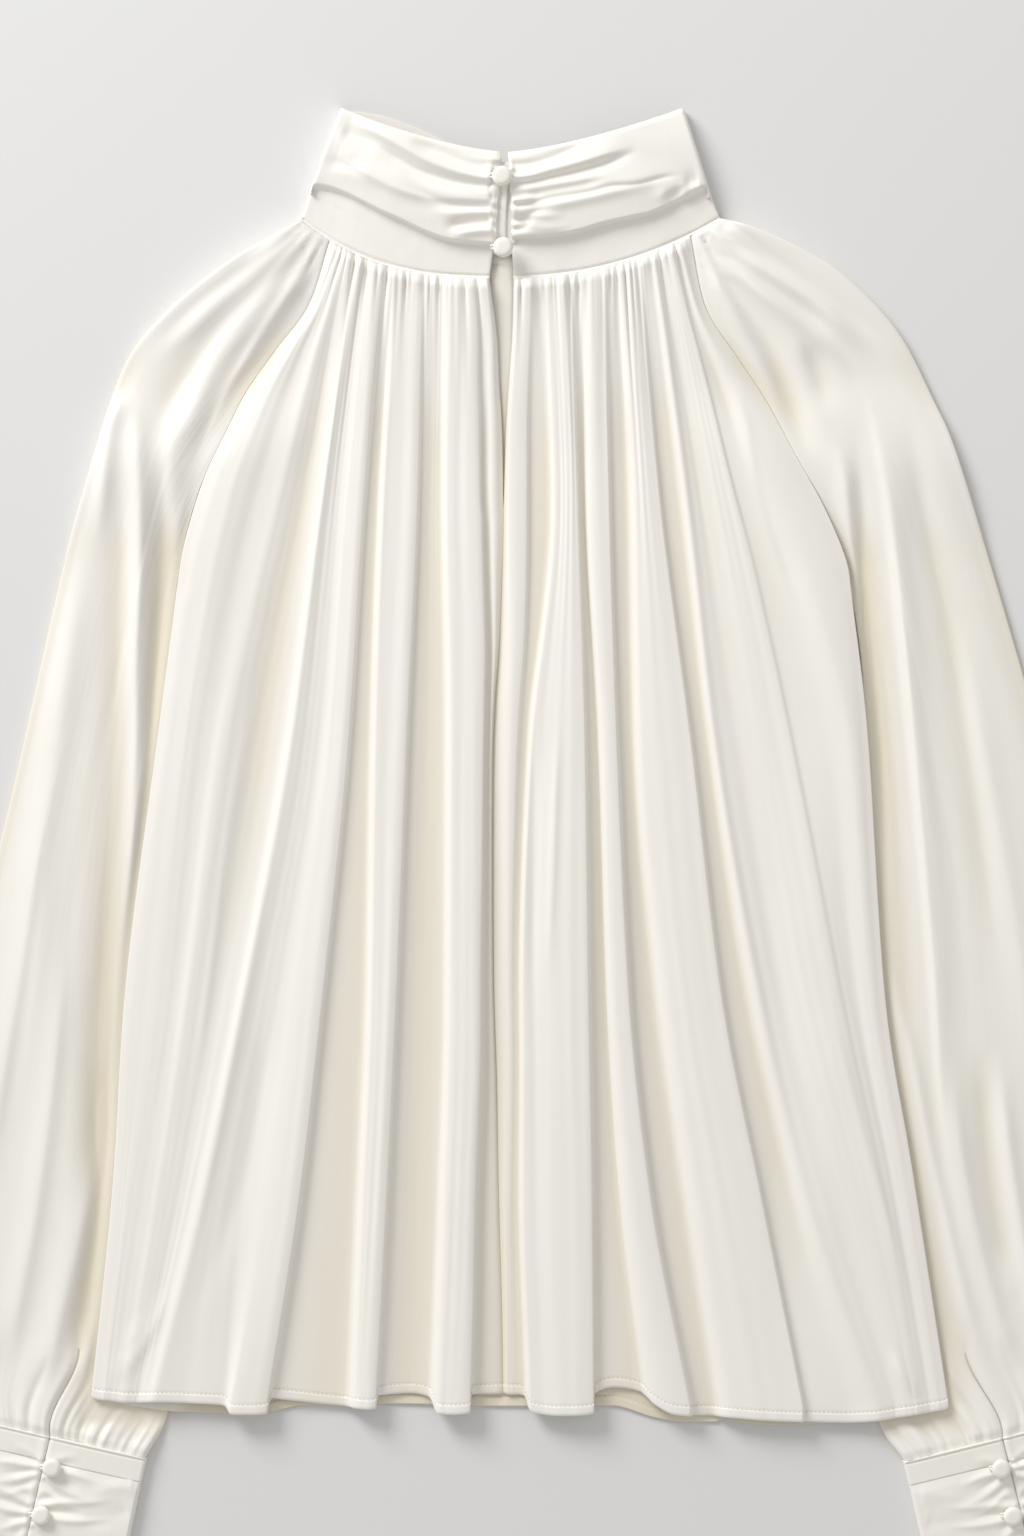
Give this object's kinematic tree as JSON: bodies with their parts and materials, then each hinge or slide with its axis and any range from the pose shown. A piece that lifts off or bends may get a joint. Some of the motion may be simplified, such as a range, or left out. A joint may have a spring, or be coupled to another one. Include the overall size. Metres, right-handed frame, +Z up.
{
  "type": "pleated blouse laid flat, with a high draped collar",
  "caption": "High-neck satin blouse laid flat, back side up: gathered into a plain neckband under a draped collar, with full raglan sleeves and buttoned cuffs.",
  "frame": {"origin": "middle of the laid garment's outline, on the surface that it lies on", "axes": "+X to the right of the laid garment seen from above, +Y from the hem to the collar, +Z up out of the buttoned back"},
  "size_m": [0.6832, 0.8044, 0.0209],
  "materials": {
    "body_satin": "soft ivory satin with a gentle sheen",
    "trim_satin": "the same satin, doubled, for collar, bands and cuffs",
    "button_satin": "the same satin stretched over domed button blanks"
  },
  "bodies": {
    "root": {"front": "body_satin", "back_left": "body_satin", "back_right": "body_satin", "sleeve_left": "body_satin", "sleeve_right": "body_satin", "neckband": "trim_satin", "collar": "trim_satin", "cuff_band_left": "trim_satin", "cuff_band_right": "trim_satin", "cuff_left": "trim_satin", "cuff_right": "trim_satin", "button_neck_upper": "button_satin", "button_neck_lower": "button_satin", "button_cuff_left_1": "button_satin", "button_cuff_left_2": "button_satin", "button_cuff_right_1": "button_satin", "button_cuff_right_2": "button_satin"}
  },
  "joints": []
}
